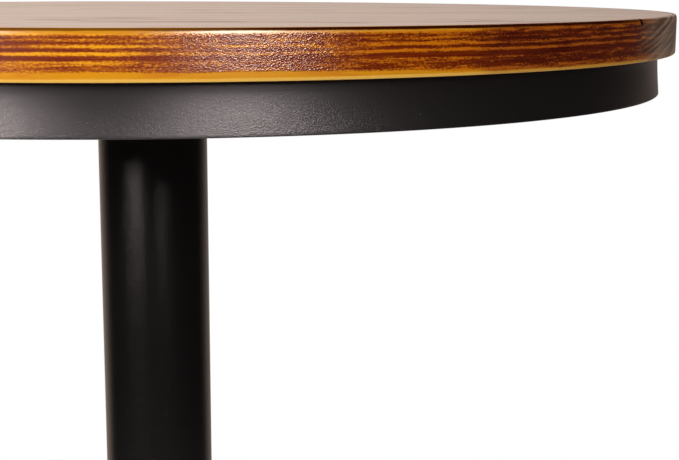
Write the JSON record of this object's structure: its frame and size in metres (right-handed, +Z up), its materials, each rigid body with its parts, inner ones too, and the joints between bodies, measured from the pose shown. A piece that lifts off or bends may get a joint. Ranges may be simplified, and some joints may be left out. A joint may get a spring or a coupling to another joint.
{
  "type": "pub table",
  "caption": "Round bar-height pub table: glued-board wooden top with a black steel band under its rim, on a black tubular column and a weighted disc base with levelling feet.",
  "frame": {"origin": "on the floor under the centre of the round top, at the column's axis", "axes": "+Z up the column, +X along the boards to the right as seen from the front, +Y away from the viewer"},
  "size_m": [0.7111, 0.7112, 1.0668],
  "materials": {
    "board_wood": "clear satin lacquer on pine boards",
    "black_paint": "satin black powder coat",
    "zinc_steel": "bright zinc plate",
    "plain_iron": "dark mill surface",
    "nylon": "moulded black nylon"
  },
  "bodies": {
    "table": {"top_board_1": "board_wood", "top_board_2": "board_wood", "top_board_3": "board_wood", "top_board_4": "board_wood", "top_board_5": "board_wood", "apron_band": "black_paint", "column_tube": "black_paint", "column_flange": "black_paint", "column_collar": "black_paint", "hub_plate": "black_paint", "band_lugs": "black_paint", "base_cover": "black_paint", "frame_arm_1": "black_paint", "frame_arm_2": "black_paint", "frame_arm_3": "black_paint", "frame_arm_4": "black_paint", "arm_screws": "zinc_steel", "lug_screws": "zinc_steel", "flange_bolts": "zinc_steel", "flange_washers": "zinc_steel", "flange_nuts": "zinc_steel", "base_bolts": "zinc_steel", "base_washers": "zinc_steel", "base_weight": "plain_iron", "column_plug": "plain_iron"},
    "foot_1_pad": {"foot_pad_1": "nylon"},
    "foot_1_stem": {"foot_stem_1": "zinc_steel"},
    "foot_2_pad": {"foot_pad_2": "nylon"},
    "foot_2_stem": {"foot_stem_2": "zinc_steel"},
    "foot_3_pad": {"foot_pad_3": "nylon"},
    "foot_3_stem": {"foot_stem_3": "zinc_steel"},
    "foot_4_pad": {"foot_pad_4": "nylon"},
    "foot_4_stem": {"foot_stem_4": "zinc_steel"}
  },
  "joints": [
    {"name": "foot_1_travel", "type": "slide", "parent": "table", "child": "foot_1_pad", "axis": [0, 0, -1], "range_m": [0, 0.006]},
    {"name": "foot_1_turn", "type": "hinge", "parent": "foot_1_pad", "child": "foot_1_stem", "pos_m": [0.15203, 0.15203, 0], "axis": [0, 0, -1], "range_deg": [0, 1440]},
    {"name": "foot_2_travel", "type": "slide", "parent": "table", "child": "foot_2_pad", "axis": [0, 0, -1], "range_m": [0, 0.006]},
    {"name": "foot_2_turn", "type": "hinge", "parent": "foot_2_pad", "child": "foot_2_stem", "pos_m": [-0.15203, 0.15203, 0], "axis": [0, 0, -1], "range_deg": [0, 1440]},
    {"name": "foot_3_travel", "type": "slide", "parent": "table", "child": "foot_3_pad", "axis": [0, 0, -1], "range_m": [0, 0.006]},
    {"name": "foot_3_turn", "type": "hinge", "parent": "foot_3_pad", "child": "foot_3_stem", "pos_m": [-0.15203, -0.15203, 0], "axis": [0, 0, -1], "range_deg": [0, 1440]},
    {"name": "foot_4_travel", "type": "slide", "parent": "table", "child": "foot_4_pad", "axis": [0, 0, -1], "range_m": [0, 0.006]},
    {"name": "foot_4_turn", "type": "hinge", "parent": "foot_4_pad", "child": "foot_4_stem", "pos_m": [0.15203, -0.15203, 0], "axis": [0, 0, -1], "range_deg": [0, 1440]}
  ],
  "couplings": [
    {"joint": "foot_1_travel", "follows": "foot_1_turn", "m_per_rad": 0.00023873},
    {"joint": "foot_2_travel", "follows": "foot_2_turn", "m_per_rad": 0.00023873},
    {"joint": "foot_3_travel", "follows": "foot_3_turn", "m_per_rad": 0.00023873},
    {"joint": "foot_4_travel", "follows": "foot_4_turn", "m_per_rad": 0.00023873}
  ]
}
